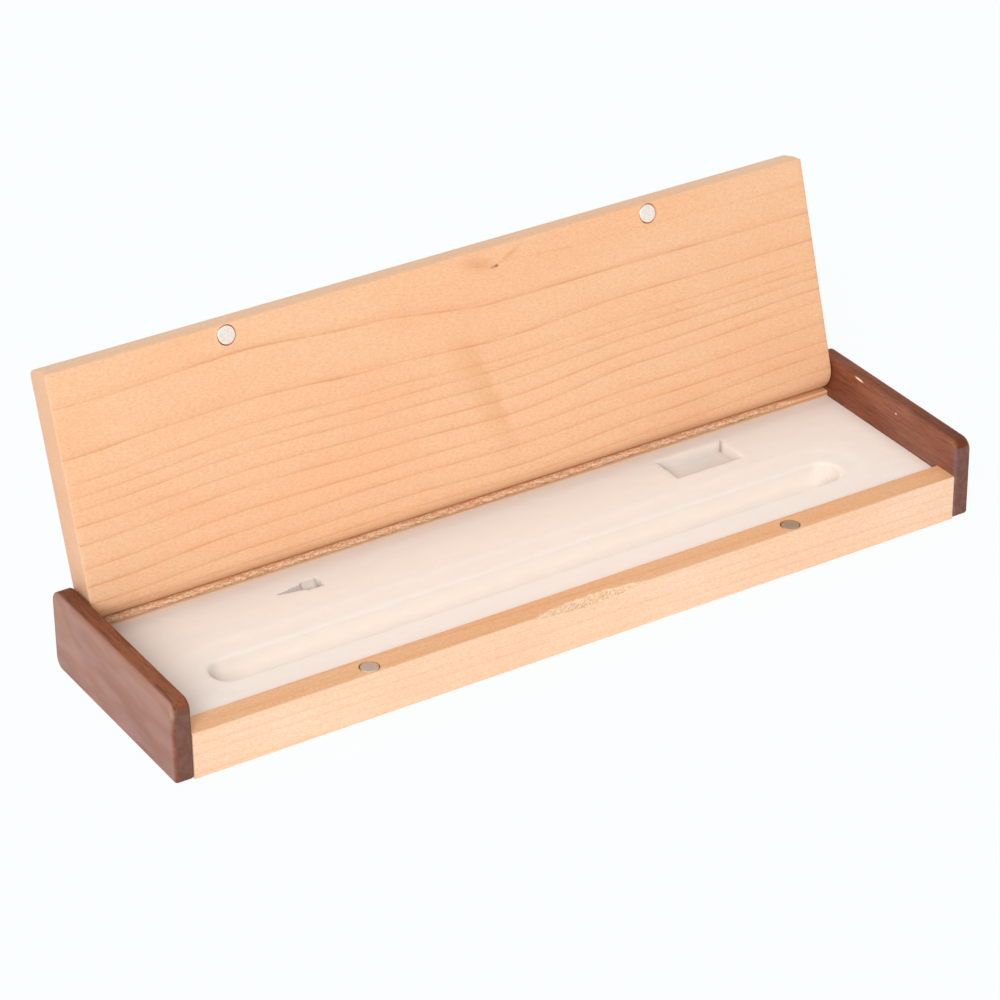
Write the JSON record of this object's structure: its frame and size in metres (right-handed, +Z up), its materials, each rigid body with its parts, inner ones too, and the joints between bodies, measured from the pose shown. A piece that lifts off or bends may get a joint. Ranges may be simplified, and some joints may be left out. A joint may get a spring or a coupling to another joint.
{
  "type": "pen case",
  "caption": "Slim wooden box for one pen: light wood tray and hinged lid between dark end cheeks, soft insert with a long trough, magnets that hold the lid shut.",
  "frame": {"origin": "middle of the flat underside of the tray, on the surface it stands on", "axes": "+X along the case towards the end with the oblong accessory pocket, +Y from the front rail to the hinge, +Z up"},
  "size_m": [0.2236, 0.075, 0.073],
  "materials": {
    "walnut": "oiled, satin",
    "maple": "sanded and oiled, satin",
    "birch": "sanded, matt",
    "flocking": "short white pile, matt",
    "magnet": "nickel plated, lightly scratched",
    "pin_steel": "plain"
  },
  "bodies": {
    "case": {"left_cheek": "walnut", "right_cheek": "walnut", "front_rail": "maple", "back_rail": "maple", "floor_panel": "birch", "rail_dowels": "birch", "insert": "flocking", "rail_magnet_left": "magnet", "rail_magnet_right": "magnet"},
    "lid": {"lid_panel": "maple", "lid_magnet_left": "magnet", "lid_magnet_right": "magnet", "hinge_pin_left": "pin_steel", "hinge_pin_right": "pin_steel"}
  },
  "joints": [
    {"name": "lid_hinge", "type": "hinge", "parent": "case", "child": "lid", "pos_m": [0, 0.0261, 0.0178], "axis": [1, 0, 0], "range_deg": [0, 106.9]}
  ]
}
